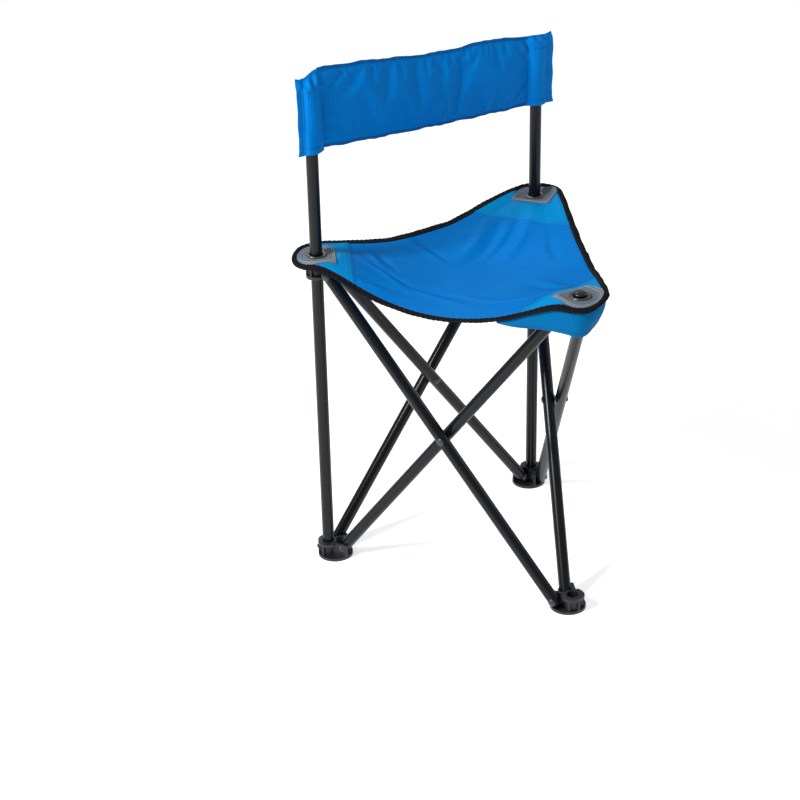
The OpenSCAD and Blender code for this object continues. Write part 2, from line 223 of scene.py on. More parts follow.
def srgb(r, g, b):
    """Linear colour of an 8-bit display colour."""
    c = np.array([r, g, b]) / 255
    return tuple(np.where(c <= 0.04045, c / 12.92, ((c + 0.055) / 1.055) ** 2.4)) + (1,)


def new_group(name, inputs, outputs):
    """A shader node group with named sockets, and its input and output nodes."""
    g = bpy.data.node_groups.new(name, "ShaderNodeTree")
    for label, kind, value in inputs:
        s = g.interface.new_socket(label, in_out="INPUT", socket_type=kind)
        if value is not None:
            s.default_value = value
    for label, kind in outputs:
        g.interface.new_socket(label, in_out="OUTPUT", socket_type=kind)
    return g, g.nodes.new("NodeGroupInput"), g.nodes.new("NodeGroupOutput")


def node(tree, kind, inputs=None, **settings):
    """A node with its settings, each input linked or given a value."""
    n = tree.nodes.new(kind)
    for k, v in settings.items():
        setattr(n, k, v)
    for k, v in (inputs or {}).items():
        if isinstance(v, bpy.types.NodeSocket):
            tree.links.new(v, n.inputs[k])
        else:
            n.inputs[k].default_value = v
    return n


def math_node(tree, operation, a, b=None, c=None, clamp=False):
    """Output of one maths node."""
    inputs = {i: v for i, v in enumerate((a, b, c)) if v is not None}
    return node(tree, "ShaderNodeMath", inputs, operation=operation, use_clamp=clamp).outputs[0]


def mixed(tree, factor, a, b):
    """Colour between two others, each linked or given as a display colour."""
    inputs = {"Factor": factor, "A": srgb(*a) if isinstance(a, tuple) else a,
              "B": srgb(*b) if isinstance(b, tuple) else b}
    return node(tree, "ShaderNodeMix", inputs, data_type="RGBA").outputs["Result"]


def placed(tree, group, inputs):
    """A group placed in a material's tree."""
    return node(tree, "ShaderNodeGroup", inputs, node_tree=group)


def build_weave():
    """Plain weave: a product of two sines, one thread across and one along, with slubs drawn out along both,
    and soft ribs that wander a little, turned by their own angle."""
    g, i, o = new_group("plain_weave",
                        [("Vector", "NodeSocketVector", None), ("Pitch", "NodeSocketFloat", 0.001),
                         ("Turn", "NodeSocketVector", None)],
                        [("Height", "NodeSocketFloat"), ("Slub", "NodeSocketFloat"),
                         ("Rib", "NodeSocketFloat")])
    xyz = node(g, "ShaderNodeSeparateXYZ", {0: i.outputs["Vector"]})
    wave = []
    for axis in (0, 1):
        turns = math_node(g, "DIVIDE", xyz.outputs[axis], i.outputs["Pitch"])
        wave.append(math_node(g, "SINE", math_node(g, "MULTIPLY", turns, math.tau)))
    height = math_node(g, "MULTIPLY_ADD", math_node(g, "MULTIPLY", wave[0], wave[1]), 0.5, 0.5)
    g.links.new(height, o.inputs["Height"])
    slubs = []
    for stretch in ((40, 900, 1), (900, 40, 1)):
        m = node(g, "ShaderNodeMapping", {"Vector": i.outputs["Vector"], "Scale": stretch})
        n = node(g, "ShaderNodeTexNoise", {"Vector": m.outputs[0], "Scale": 1.0, "Detail": 2.0})
        slubs.append(n.outputs["Fac"])
    g.links.new(math_node(g, "MULTIPLY", math_node(g, "ADD", slubs[0], slubs[1]), 0.5), o.inputs["Slub"])
    lie = node(g, "ShaderNodeMapping", {"Vector": i.outputs["Vector"], "Rotation": i.outputs["Turn"]})
    rib = node(g, "ShaderNodeTexWave", {"Vector": lie.outputs[0], "Scale": 95.0, "Distortion": 2.2,
                                        "Detail": 1.0, "Detail Scale": 0.35}, bands_direction="X")
    g.links.new(rib.outputs["Fac"], o.inputs["Rib"])
    return g


def build_grain():
    """Moulded or coated grain: fine noise for the bump, broad noise for slight changes of shade and gloss."""
    g, i, o = new_group("fine_grain", [("Scale", "NodeSocketFloat", 2500.0)],
                        [("Height", "NodeSocketFloat"), ("Broad", "NodeSocketFloat")])
    where = node(g, "ShaderNodeTexCoord").outputs["Object"]
    fine = node(g, "ShaderNodeTexNoise", {"Vector": where, "Scale": i.outputs["Scale"], "Detail": 3.0})
    broad = node(g, "ShaderNodeTexNoise", {"Vector": where, "Scale": 28.0, "Detail": 4.0})
    g.links.new(fine.outputs["Fac"], o.inputs["Height"])
    g.links.new(broad.outputs["Fac"], o.inputs["Broad"])
    return g


def build_wear():
    """Edge wear: pointed edges broken up by a noise, as a mask from 0 to 1."""
    g, i, o = new_group("edge_wear",
                        [("Start", "NodeSocketFloat", 0.56), ("Scale", "NodeSocketFloat", 220.0)],
                        [("Mask", "NodeSocketFloat")])
    point = node(g, "ShaderNodeNewGeometry").outputs["Pointiness"]
    where = node(g, "ShaderNodeTexCoord").outputs["Object"]
    noise = node(g, "ShaderNodeTexNoise", {"Vector": where, "Scale": i.outputs["Scale"], "Detail": 5.0})
    level = math_node(g, "ADD", point, math_node(g, "MULTIPLY", math_node(
        g, "SUBTRACT", noise.outputs["Fac"], 0.5), 0.16))
    mask = math_node(g, "MULTIPLY", math_node(g, "SUBTRACT", level, i.outputs["Start"]), 14.0, clamp=True)
    g.links.new(mask, o.inputs["Mask"])
    return g


WEAVE, GRAIN, WEAR = build_weave(), build_grain(), build_wear()


def blank(name, sockets):
    """A material with a Principled shader whose sockets have the given values, its tree and its shader."""
    m = bpy.data.materials.new(name)
    m.use_nodes = True
    p = m.node_tree.nodes["Principled BSDF"]
    for k, v in sockets.items():
        p.inputs[k].default_value = v
    return m, m.node_tree, p


# how much the slubs and the threads change the shade, from 0 to 1
SLUB_SHADE, THREAD_SHADE = 0.7, 0.3
CLOTH_ROUGH = 0.63


def cloth(name, dark, light, pitch=0.0012, bump=0.25, panel=None, rib=0.4, rib_turn=0.0):
    """Woven cloth: threads and ribs in the bump and shade, slubs mixing a dark and a light tone, and a second
    pair of tones where the piece's panel attribute says: painted sheen on the seat's corner panels and
    painted shade along the backrest's hems."""
    m, t, p = blank(name, {"Specular IOR Level": 0.15, "IOR": 1.2})
    uv = node(t, "ShaderNodeUVMap", uv_map="cloth").outputs[0]
    w = placed(t, WEAVE, {"Vector": uv, "Pitch": pitch, "Turn": (0, 0, rib_turn)})
    shade = math_node(t, "ADD", math_node(t, "MULTIPLY", w.outputs["Slub"], SLUB_SHADE),
                      math_node(t, "MULTIPLY_ADD", w.outputs["Height"], THREAD_SHADE, -0.1), clamp=True)
    shade = math_node(t, "SUBTRACT", shade, rib / 4)
    shade = math_node(t, "MULTIPLY_ADD", w.outputs["Rib"], rib, shade, clamp=True)
    colour = mixed(t, shade, dark, light)
    # the panel pair of tones is painted light: lighter for sheen on the seat's corners, darker for shade
    # along the backrest's hems
    if panel:
        where = node(t, "ShaderNodeAttribute", attribute_name="panel").outputs["Fac"]
        colour = mixed(t, where, colour, mixed(t, shade, *panel))
    t.links.new(colour, p.inputs["Base Color"])
    gloss = math_node(t, "MULTIPLY_ADD", w.outputs["Slub"], -0.15, CLOTH_ROUGH)
    t.links.new(gloss, p.inputs["Roughness"])
    b = node(t, "ShaderNodeBump", {"Height": math_node(t, "ADD", w.outputs["Height"], w.outputs["Rib"]),
                                    "Strength": bump, "Distance": 0.0003})
    t.links.new(b.outputs[0], p.inputs["Normal"])
    return m


def solid(name, dark, light, rough, spread=0.1, grain=2500.0, bump=0.1, metal=0.0, worn=None, **sockets):
    """Coated metal or moulded plastic: fine grain in the bump, broad changes of shade and gloss, and worn
    edges."""
    m, t, p = blank(name, {"Metallic": metal, **sockets})
    g = placed(t, GRAIN, {"Scale": grain})
    colour = mixed(t, g.outputs["Broad"], dark, light)
    if worn:
        colour = mixed(t, placed(t, WEAR, {}).outputs["Mask"], colour, worn)
    t.links.new(colour, p.inputs["Base Color"])
    gloss = math_node(t, "MULTIPLY_ADD", g.outputs["Broad"], spread, rough - spread / 2)
    t.links.new(gloss, p.inputs["Roughness"])
    b = node(t, "ShaderNodeBump", {"Height": g.outputs["Height"], "Strength": bump, "Distance": 0.0002})
    t.links.new(b.outputs[0], p.inputs["Normal"])
    return m


# the seat's panel pair is lighter: painted sheen on the corner panels, which are the same cloth as the rest
# of the seat
SEAT_BLUE = cloth("seat_blue", (0, 84, 156), (0, 126, 208),
                  panel=((0, 108, 168), (0, 140, 206)), rib=0.55, rib_turn=math.radians(-30))
# the backrest's panel pair is darker: painted shade along its top and bottom hems
BACK_BLUE = cloth("backrest_blue", (0, 92, 168), (0, 128, 210),
                  panel=((0, 76, 144), (0, 108, 182)))
POCKET_BLUE = cloth("pocket_blue", (0, 84, 134), (0, 108, 164), rib=0.1)
BINDING_BLACK = cloth("binding_black", (10, 10, 13), (28, 29, 34), pitch=0.0016, bump=0.6)
PATCH_GREY = cloth("patch_grey", (74, 85, 95), (116, 127, 138), pitch=0.0014, bump=0.5, rib=0.1)
THREAD_BLUE = solid("thread_blue", (0, 46, 98), (0, 62, 122), 0.6)
THREAD_PALE = solid("thread_pale", (150, 156, 164), (176, 182, 190), 0.6)
THREAD_BLACK = solid("thread_black", (26, 27, 30), (44, 45, 50), 0.6)
TUBE_BLACK = solid("tube_black", (4, 7, 11), (10, 14, 19), 0.26, 0.06, 1800.0, 0.02,
                   **{"Specular IOR Level": 0.24})
MOULD_BLACK = solid("moulding_black", (18, 19, 22), (30, 31, 35), 0.50, 0.12, 2600.0, 0.18,
                    worn=(46, 47, 50))
RIVET_BLACK = solid("rivet_black", (30, 31, 33), (46, 47, 50), 0.38, 0.12, worn=(96, 96, 98))
WASHER_STEEL = solid("washer_steel", (120, 121, 124), (150, 151, 154), 0.35, 0.15, metal=1.0)
NICKEL_DARK = solid("nickel_dark", (92, 86, 78), (128, 120, 108), 0.34, 0.15, metal=1.0)
KNOB_BLACK = solid("knob_black", (14, 14, 16), (24, 24, 27), 0.28, 0.06, 3000.0, 0.05)


# ---- the seat's cloth ----

def smooth01(x):
    """Held between 0 and 1."""
    return np.clip(x, 0, 1)


def ramp(x, start, length):
    """From 0 at the start to 1 after the length."""
    return smooth01((x - start) / length)


def cloth_z(xy):
    """Height of the seat's top face: level over each hub, then a parabola down to the sag. The sag is taken
    from the middle's and the nearest side's by how far out the point lies. The rim turns up at the tips."""
    fall = np.ones(xy.shape[:-1])
    for a in CORNERS.values():
        d = np.linalg.norm(xy - PLATE_RING * unit(a), axis=-1)
        fall = fall * (1 - (1 - ramp(d, PLATE_FLAT, RAMP)) ** 2)
    sag = np.full(xy.shape[:-1], SAG_MIDDLE)
    for k, a in SIDES.items():
        sag = sag + (SAGS[k] - SAG_MIDDLE) * smooth01(xy @ unit(a) / SEAT_APOTHEM) ** 2
    dist = np.array([np.linalg.norm(xy - POST_RING * unit(a), axis=-1) for a in CORNERS.values()])
    gap = SEAT_APOTHEM - np.max([xy @ unit(a) for a in SIDES.values()], axis=0)
    for d, a in zip(dist, CORNERS.values()):
        gap = np.where(xy @ unit(a) - POST_RING > d / 2, CORNER_R - d, gap)
    near = dist.min(axis=0)
    lift = RIM_LIFT * ramp(near, *LIFT_RISE) ** 2 * (1 - ramp(near, *LIFT_FADE))
    lift = lift * (1 - ramp(gap, *LIFT_EDGE))
    lift = lift * (1 - 0.9 * ramp(xy @ unit(SIDES["lf"]), *LIFT_LF))
    return SEAT_TOP + lift - sag * fall


# soft folds lying in the cloth: plan middle, heading in degrees, half length, half width, height before
# the gain that all of them share
FOLD_GAIN = 2.3
FOLDS = (
    (0.091, 0.050, -154, 0.046, 0.0075, -0.0016), (0.074, 0.064, -151, 0.050, 0.0080, -0.0016),
    (0.100, 0.034, -150, 0.044, 0.0075, 0.0012), (0.060, 0.078, -150, 0.040, 0.0075, 0.0012),
    (-0.113, 0.052, -72, 0.034, 0.0050, 0.0009), (-0.101, 0.046, -68, 0.030, 0.0046, -0.0009),
    (-0.143, 0.022, -43, 0.026, 0.0045, 0.0008), (-0.132, 0.030, -46, 0.026, 0.0045, -0.0008),
    (-0.100, 0.090, -94, 0.026, 0.0055, 0.0008), (-0.086, 0.084, -90, 0.030, 0.0055, -0.0008),
    (-0.020, 0.106, -70, 0.034, 0.0060, 0.0010), (-0.006, 0.104, -78, 0.034, 0.0060, -0.0010),
    (-0.082, -0.018, -63, 0.040, 0.0060, 0.0009), (-0.068, -0.014, -60, 0.040, 0.0060, -0.0008),
    (0.034, -0.112, 78, 0.034, 0.0055, 0.0008), (0.022, -0.110, 84, 0.034, 0.0055, -0.0008),
    (-0.030, -0.100, 112, 0.040, 0.0060, 0.0009), (0.112, -0.020, 62, 0.036, 0.0065, -0.0010),
)


def creases(xy):
    """Slack: rays pulled from each hub that die away, soft ripples across the middle, and the listed folds,
    each a ridge falling off along and across it as a bell curve and bent a little to one side."""
    h = np.zeros(xy.shape[:-1])
    for i, a in enumerate(CORNERS.values()):
        d = xy - POST_RING * unit(a)
        r = np.linalg.norm(d, axis=-1)
        turn = np.arctan2(d[..., 1], d[..., 0]) - math.radians(a + 180)
        ray = np.sin(9 * turn + 1.7 * i) + 0.6 * np.sin(17 * turn + 0.9 * i)
        h += 0.0004 * ray * smooth01((r - 0.03) / 0.03) * np.exp(-np.clip(r - 0.05, 0, None) / 0.05)
    x, y = xy[..., 0], xy[..., 1]
    h += 0.0004 * np.sin(62 * (x + 0.4 * y) + 2 * np.sin(21 * y)) * np.sin(27 * y + 11 * x)
    edge = np.max([xy @ unit(a) for a in SIDES.values()], axis=0)
    inside = smooth01((SEAT_APOTHEM - BINDING_W - edge) / 0.012)
    for fx, fy, heading, half_l, half_w, height in FOLDS:
        along_way, across_way = unit(heading), unit(heading + 90)
        d = xy - (fx, fy)
        along = d @ along_way
        across = d @ across_way + 2.4 * along ** 2
        h += FOLD_GAIN * height * np.exp(-(along / half_l) ** 2 - (across / half_w) ** 2) * inside
    return h


def turned(points, a):
    """Corner's own (outwards, along) plan points in the stool's plan."""
    c, s = math.cos(math.radians(a)), math.sin(math.radians(a))
    return np.stack([points[..., 0] * c - points[..., 1] * s, points[..., 0] * s + points[..., 1] * c], -1)


def in_row(xy, z):
    """Plan points about the middle of the three posts, with heights, as points of the stool."""
    return np.stack([xy[..., 0], xy[..., 1] + SHIFT_Y, z], -1)


def hub_point(corner):
    """The post's axis at the seat's height, in the stool's frame."""
    return in_row(turned(np.array([POST_RING, 0.0]), CORNERS[corner]), SEAT_TOP)


def outward(line):
    """Plan normals of a line along the rim, pointing away from the seat's middle."""
    d = np.gradient(line, axis=0)
    d /= np.linalg.norm(d, axis=1)[:, None]
    normal = np.stack([d[:, 1], -d[:, 0]], -1)
    return normal if normal[len(line) // 2] @ line[len(line) // 2] >= 0 else -normal


def seat_points(local, corner, down):
    """Points of the cloth over corner plan points, the given depth below the seat's top face, with a raised
    double layer outboard of the seam, a ridge along the seam and a groove beside it."""
    xy = turned(local, CORNERS[corner])
    seam = POST_RING - SEAM_IN[corner] - local[..., 0]
    h = creases(xy) + 0.0005 * np.exp(-(seam / 0.0045) ** 2) + 0.0003 * smooth01(-seam / 0.002) \
        - 0.0004 * np.exp(-((seam - 0.0045) / 0.0016) ** 2)
    return in_row(xy, cloth_z(xy) + h - down)


def sector_far(u):
    """Far boundary of a corner's third, for u from -1 to 1: mid-edge, stool's axis, mid-edge."""
    mid = (SEAT_APOTHEM - BINDING_W + 0.002) * unit(60.0)
    return np.stack([mid[0] * np.abs(u), mid[1] * u], -1)


def bowed(local, corner):
    """Plan points moved outwards where the seat's side bows: the move is a parabola along the side, fades
    in from the line of the posts, and in the round tip is a squared sine of the angle about the post."""
    for (name, part), (mid, end) in EDGE_BOW.items():
        if name == corner:
            sign = -1 if part == "a" else 1
            out, run = unit(60.0 * sign), unit(-30.0 * sign)
            share = smooth01((local @ run) / (POST_RING / 2 * math.sqrt(3)))
            start = POST_RING / 2 * share
            far = smooth01((local @ out - start) / (SEAT_APOTHEM - BINDING_W - start))
            angle = np.arctan2(sign * local[..., 1], local[..., 0] - POST_RING)
            tip = np.sin(1.5 * np.clip(angle, 0, math.pi / 3)) ** 2
            local = local + ((end + (mid - end) * (1 - share ** 2)) * far * tip)[..., None] * out
    return local


def fan_points(u, v, corner):
    """Corner plan points ruled from a circle round the post, at v 0, to the far boundary, at v 1."""
    a = np.radians(180 - 120 * u)
    near = np.stack([POST_RING + CORE_R * np.cos(a), CORE_R * np.sin(a)], -1)
    return bowed(near * (1 - v[..., None]) + sector_far(u) * v[..., None], corner)


def fold_towards(obj):
    """Gives the cloth piece its own copy of its mesh."""
    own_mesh(obj)


def clipped_line(corner, corner_x, u0, u1, count=120):
    """The part of a straight seam across a corner that lies in the fan between u0 and u1."""
    v = np.linspace(0, 1, 400)
    ends = []
    for u in (u0, u1):
        p = fan_points(np.full(400, u), v, corner)
        order = np.argsort(p[:, 0])
        ends.append(np.interp(corner_x, p[order, 0], p[order, 1]))
    y = np.linspace(ends[0], ends[1], count)
    return np.stack([np.full(count, corner_x), y], -1)


def seat_cloth(corner):
    """The corner's third of the seat: four fans out to the middle and a core round the post."""
    a = CORNERS[corner]
    body = f"{corner}_hub"
    seam = POST_RING - SEAM_IN[corner]
    for key, (u0, u1) in FANS.items():
        p = Piece(f"seat_{corner}_{key}")
        u, v = np.meshgrid(np.linspace(u0, u1, 60), np.linspace(0, 1, 120))
        local = fan_points(u, v, corner)
        verts, faces = slab(seat_points(local, corner, CLOTH_DOWN),
                            seat_points(local, corner, CLOTH_DOWN + CLOTH_T))
        flat = turned(local, a).reshape(-1, 2)
        # outboard of the seam the cloth takes the lighter pair: painted sheen of the corner panel
        painted_light_mask = smooth01((local[..., 0] - seam) / 0.0008 + 0.5).ravel()
        p.add(verts, faces, np.concatenate([flat, flat]), painted_light_share=np.concatenate([painted_light_mask, painted_light_mask]))
        for off in (-0.0050, 0.0040):
            line = clipped_line(corner, seam + off, u0, u1)
            stitches(p, seat_points(line, corner, CLOTH_DOWN - 0.00012))
        obj = p.make([SEAT_BLUE, THREAD_BLUE], body, replaces=[f"seat_{corner}"], slot="blue_seat_cloth")
        fold_towards(obj)
    p = Piece(f"seat_{corner}_core")
    r, turn = np.meshgrid(np.linspace(EYELET_R + 0.0002, CORE_R, 8), np.radians(np.linspace(0, 360, 97)))
    local = bowed(np.stack([POST_RING + r * np.cos(turn), r * np.sin(turn)], -1), corner)
    verts, faces = ring_slab(seat_points(local, corner, CLOTH_DOWN),
                             seat_points(local, corner, CLOTH_DOWN + CLOTH_T))
    flat = turned(local[:-1], a).reshape(-1, 2)
    # the core lies wholly in the corner panel and takes its painted sheen all over
    p.add(verts, faces, np.concatenate([flat, flat]), painted_light_share=np.ones(len(verts)))
    core = p.make([SEAT_BLUE], body, replaces=[f"seat_{corner}"], slot="blue_seat_cloth")


def ring_slab(top, low):
    """Closed sheet between two grids whose rows go once round, their last row repeating the first."""
    top, low = top[:-1], low[:-1]
    rows, cols = top.shape[:2]
    k, e = rows * cols, cols - 1
    i = np.arange(rows) * cols
    j = np.roll(i, -1)
    a, b = i[:, None] + np.arange(e), j[:, None] + np.arange(e)
    face = np.stack([a, a + 1, b + 1, b], -1).reshape(-1, 4)
    inner = np.stack([i, j, j + k, i + k], -1)
    outer = np.stack([i + e + k, j + e + k, j + e, i + e], -1)
    v = np.concatenate([top.reshape(-1, 3), low.reshape(-1, 3)])
    return v, right_way(v, [face, face[:, ::-1] + k, inner, outer])


# ---- edge binding ----

def edge_line(corner, part, inset, count):
    """Plan line along a corner's rim, inset from the seat's edge: side a, round tip, or side d."""
    n = SEAT_APOTHEM - inset
    reach = POST_RING / 2 * math.sqrt(3)
    if part == "tip":
        a = np.radians(np.linspace(-60, 60, count))
        r = CORNER_R - inset
        for (name, side), (_, end) in EDGE_BOW.items():
            if name == corner:
                r = r + end * np.sin(1.5 * np.clip(a if side == "d" else -a, 0, math.pi / 3)) ** 2
        return np.stack([POST_RING + r * np.cos(a), r * np.sin(a)], -1)
    s = np.linspace(0, reach, count)
    sign = -1 if part == "a" else 1
    base, run = n * unit(60.0 * sign), unit(60.0 * sign - 90 * sign)
    mid, end = EDGE_BOW.get((corner, part), (0.0, 0.0))
    bow = end + (mid - end) * (1 - (s / reach) ** 2)
    line = base + s[:, None] * run + bow[:, None] * unit(60.0 * sign)
    return line if part == "a" else line[::-1]


def binding_part(corner, part, count, rows=24):
    """Tape folded over the rim: a rounded flat profile carried along it, its height following the cloth, with
    shallow puckers at each stitch."""
    a = CORNERS[corner]
    half_w, half_t, down = BINDING_W / 2, 0.0017, 0.001
    local = edge_line(corner, part, half_w, count)
    normal = outward(local)
    turn = np.radians(np.arange(rows) * 360 / rows)
    wide, thick = (np.sign(x) * np.abs(x) ** 0.7 * half
                   for x, half in ((np.cos(turn), half_w), (np.sin(turn), half_t)))
    along = run_length(local)
    slack = 0.0007 * np.sin(along * 47 + CORNERS[corner]) * np.sin(along * 113)
    pucker = 0.00022 * np.sin(along * math.tau / 0.0072)
    out = wide[None, :] + slack[:, None] * (wide[None, :] > 0)
    plan = local[:, None] + out[..., None] * normal[:, None]
    xy = turned(plan, a)
    z = cloth_z(xy) + creases(turned(local, a))[:, None] - down + thick[None, :] \
        + pucker[:, None] * (np.abs(thick)[None, :] > half_t * 0.5)
    v = in_row(xy, z).reshape(-1, 3)
    faces = [quads(count, rows, True), np.arange(rows)[None, ::-1],
             (count - 1) * rows + np.arange(rows)[None, :]]
    uv = np.stack(np.broadcast_arrays(along[:, None], (wide + thick)[None, :]), -1).reshape(-1, 2)
    p = Piece(f"binding_{corner}_{part}")
    p.add(v, right_way(v, faces), uv)
    inner = turned(local - normal * half_w * 0.62, a)
    stitches(p, in_row(inner, cloth_z(inner) + creases(inner) - down + half_t * 0.86), pitch=0.0036)
    return p


def binding(corner):
    """The rim's tape round one corner, in three lengths: one side, the round tip, the other side."""
    made = {}
    for part, count in (("a", 260), ("tip", 90), ("d", 260)):
        obj = binding_part(corner, part, count).make(
            [BINDING_BLACK, THREAD_BLACK], f"{corner}_hub", sharp=60, replaces=[f"binding_{corner}"],
            slot="black_binding")
        if part != "tip":
            fold_towards(obj)
        made[part] = obj
    return made


# ---- corner patches, grommets, knob ----

PATCH_SIDE = 0.050
PATCH_T = 0.0010
KNOB_R = 0.0088
KNOB_RISE = 0.0032
SHANK_R = 0.0040
SHANK_LOW = 0.4184


def patch(corner):
    """Square of coarse cloth over the hub, its outer side rounded with the rim, sewn twice round."""
    half, limit = PATCH_SIDE / 2, CORE_R + 0.0003

    def shape(turn, share):
        away = half / np.maximum(np.abs(np.cos(turn)), np.abs(np.sin(turn)))
        away = np.where(np.cos(turn) * away > -0.004, np.minimum(away, limit), away)
        r = EYELET_R + (away - EYELET_R) * share
        return bowed(np.stack([POST_RING + r * np.cos(turn), r * np.sin(turn)], -1), corner)

    share, turn = np.meshgrid(np.linspace(0, 1, 26), np.radians(np.linspace(0, 360, 217)))
    local = shape(turn, share)
    lifted = 0.0005 + 0.00015 * np.sin(4 * turn + 1) * np.sin(share * 7)
    lifted = lifted * (1 - 0.9 * ramp(share, 0.93, 0.07) ** 2)
    base = seat_points(local, corner, CLOTH_DOWN)
    top, low = base.copy(), base.copy()
    top[..., 2] += PATCH_T + lifted
    low[..., 2] += 0.0002
    verts, faces = ring_slab(top, low)
    uv = np.concatenate([local[:-1].reshape(-1, 2)] * 2)
    p = Piece(f"corner_patch_{corner}")
    p.add(verts, faces, uv)
    for w in (0.90, 0.76):
        outline = shape(np.radians(np.linspace(0, 360, 361)), w)
        stitches(p, seat_points(outline, corner, CLOTH_DOWN - 0.0016), pitch=0.003)
    obj = p.make([PATCH_GREY, THREAD_PALE], f"{corner}_hub", replaces=[f"patch_{corner}"],
                 slot="grey_patch_cloth")


def revolved(name, corner, profile, material, body, replaces, slot, count=72, ring=False):
    """A profile of (radius, height) turned round the corner's upright axis: open to a ring's closed section,
    or capped at both ends."""
    centre = hub_point(corner)
    turn = np.radians(np.arange(count) * 360 / count)
    r, z = np.array(profile).T
    v = np.stack([centre[0] + np.outer(r, np.cos(turn)), centre[1] + np.outer(r, np.sin(turn)),
                  np.outer(z, np.ones(count))], -1).reshape(-1, 3)
    rows = len(profile)
    faces = [quads(rows, count, True)]
    if ring:
        k = np.arange(count)
        n = (k + 1) % count
        faces.append(np.stack([(rows - 1) * count + k, (rows - 1) * count + n, n, k], -1))
    else:
        faces += [np.arange(count)[None, ::-1], (rows - 1) * count + np.arange(count)[None, :]]
    p = Piece(name)
    p.add(v, right_way(v, faces), v[:, :2])
    return p.make([material], body, sharp=50, replaces=replaces, slot=slot)


def grommet(corner):
    """A pressed ring: half an ellipse on a flat base, turned round the post."""
    t = np.radians(np.arange(0, 360, 18))
    base = SEAT_TOP + 0.0022
    section = [(0.0112 + 0.0023 * math.cos(x), base + 0.0011 * max(math.sin(x), -0.35)) for x in t]
    return revolved(f"grommet_ring_{corner}", corner, section, NICKEL_DARK, f"{corner}_hub",
                    [f"grommet_{corner}"], "dark_nickel", ring=True)


def knob():
    """A shank, a thin rounded rim, and a low dome: a quarter of an ellipse."""
    base = SEAT_TOP + 0.0039
    arc = np.radians(np.linspace(0, 86, 14))
    profile = [(SHANK_R, SHANK_LOW), (SHANK_R, base), (0.0078, base), (0.0087, base + 0.0006)]
    profile += [(KNOB_R * math.cos(x), base + 0.0012 + KNOB_RISE * math.sin(x)) for x in arc]
    revolved("knob_domed", "front", profile, KNOB_BLACK, "front_hub", ["front_knob"], "black_knob")


# ---- front pocket ----

# how far it reaches along each side, its depth at the ends and what the middle adds, and its belly
POCKET_REACH = {"a": 0.098, "d": 0.070}
POCKET_LEAST, POCKET_DROP = 0.004, 0.033
POCKET_BELLY = 0.0022


def pocket():
    """Cloth skirt hung under the front corner's binding, deepest at the tip and rising along both sides. Its
    drop follows a half sine of the way round. Going down, it bellies out by a half sine and draws inwards."""
    a = CORNERS["front"]
    lines = {k: edge_line("front", k, 0.0046, 200) for k in ("a", "tip", "d")}
    tip_length = CORNER_R * math.tau / 3
    total = sum(POCKET_REACH.values()) + tip_length

    def drop(s):
        return POCKET_LEAST + POCKET_DROP * np.sin(np.pi * np.clip(s / total, 0, 1) ** 1.12) ** 0.85

    for part, line in lines.items():
        s = run_length(line)
        if part == "a":
            keep = s > s[-1] - POCKET_REACH["a"]
            line, s = line[keep], s[keep] - (s[-1] - POCKET_REACH["a"])
        elif part == "tip":
            s = s * (tip_length / s[-1]) + POCKET_REACH["a"]
        else:
            keep = s < POCKET_REACH["d"]
            line, s = line[keep], s[keep] + POCKET_REACH["a"] + tip_length
        normal = outward(line)
        v = np.linspace(0, 1, 30)
        inwards = (0.002 + 0.008 * ramp(s[:, None], 0.08, 0.06)) * v[None] ** 1.4
        flutter = 0.0009 * np.sin(s[:, None] * 83) * v[None]
        belly = POCKET_BELLY * np.sin(np.pi * v)[None] - inwards + flutter
        plan = line[:, None] + belly[..., None] * normal[:, None]
        top = cloth_z(turned(line, a)) - 0.0030
        z = top[:, None] - drop(s)[:, None] * v[None]
        outer = in_row(turned(plan, a), z)
        inner = in_row(turned(plan - 0.0010 * normal[:, None], a), z)
        verts, faces = slab(outer, inner)
        uv = np.stack(np.broadcast_arrays(s[:, None], z), -1)
        p = Piece(f"pocket_{part}")
        p.add(verts, right_way(verts, faces), np.concatenate([uv.reshape(-1, 2)] * 2))
        hem = in_row(turned(plan[:, -5] + 0.0002 * normal, a), z[:, -5])
        side = np.concatenate([turned(normal, a), np.zeros((len(line), 1))], 1)
        stitches(p, hem, side[len(line) // 2])
        obj = p.make([POCKET_BLUE, THREAD_BLUE], "front_hub", replaces=["front_pocket"],
                     slot="blue_seat_cloth")
        if part != "tip":
            fold_towards(obj)


# ---- backrest ----

def finer(grid, times):
    """The same surface on a grid with more points, by Catmull-Rom curves through the old ones."""
    for _ in range(2):
        n = len(grid)
        at = np.linspace(0, n - 1, (n - 1) * times + 1)
        i = np.minimum(at.astype(int), n - 2)
        f = (at - i)[:, None, None]
        p0, p1 = grid[np.maximum(i - 1, 0)], grid[i]
        p2, p3 = grid[i + 1], grid[np.minimum(i + 2, n - 1)]
        grid = 0.5 * (2 * p1 + (p2 - p0) * f + (2 * p0 - 5 * p1 + 4 * p2 - p3) * f ** 2
                      + (3 * p1 - p0 - 3 * p2 + p3) * f ** 3)
        grid = grid.transpose(1, 0, 2)
    return grid


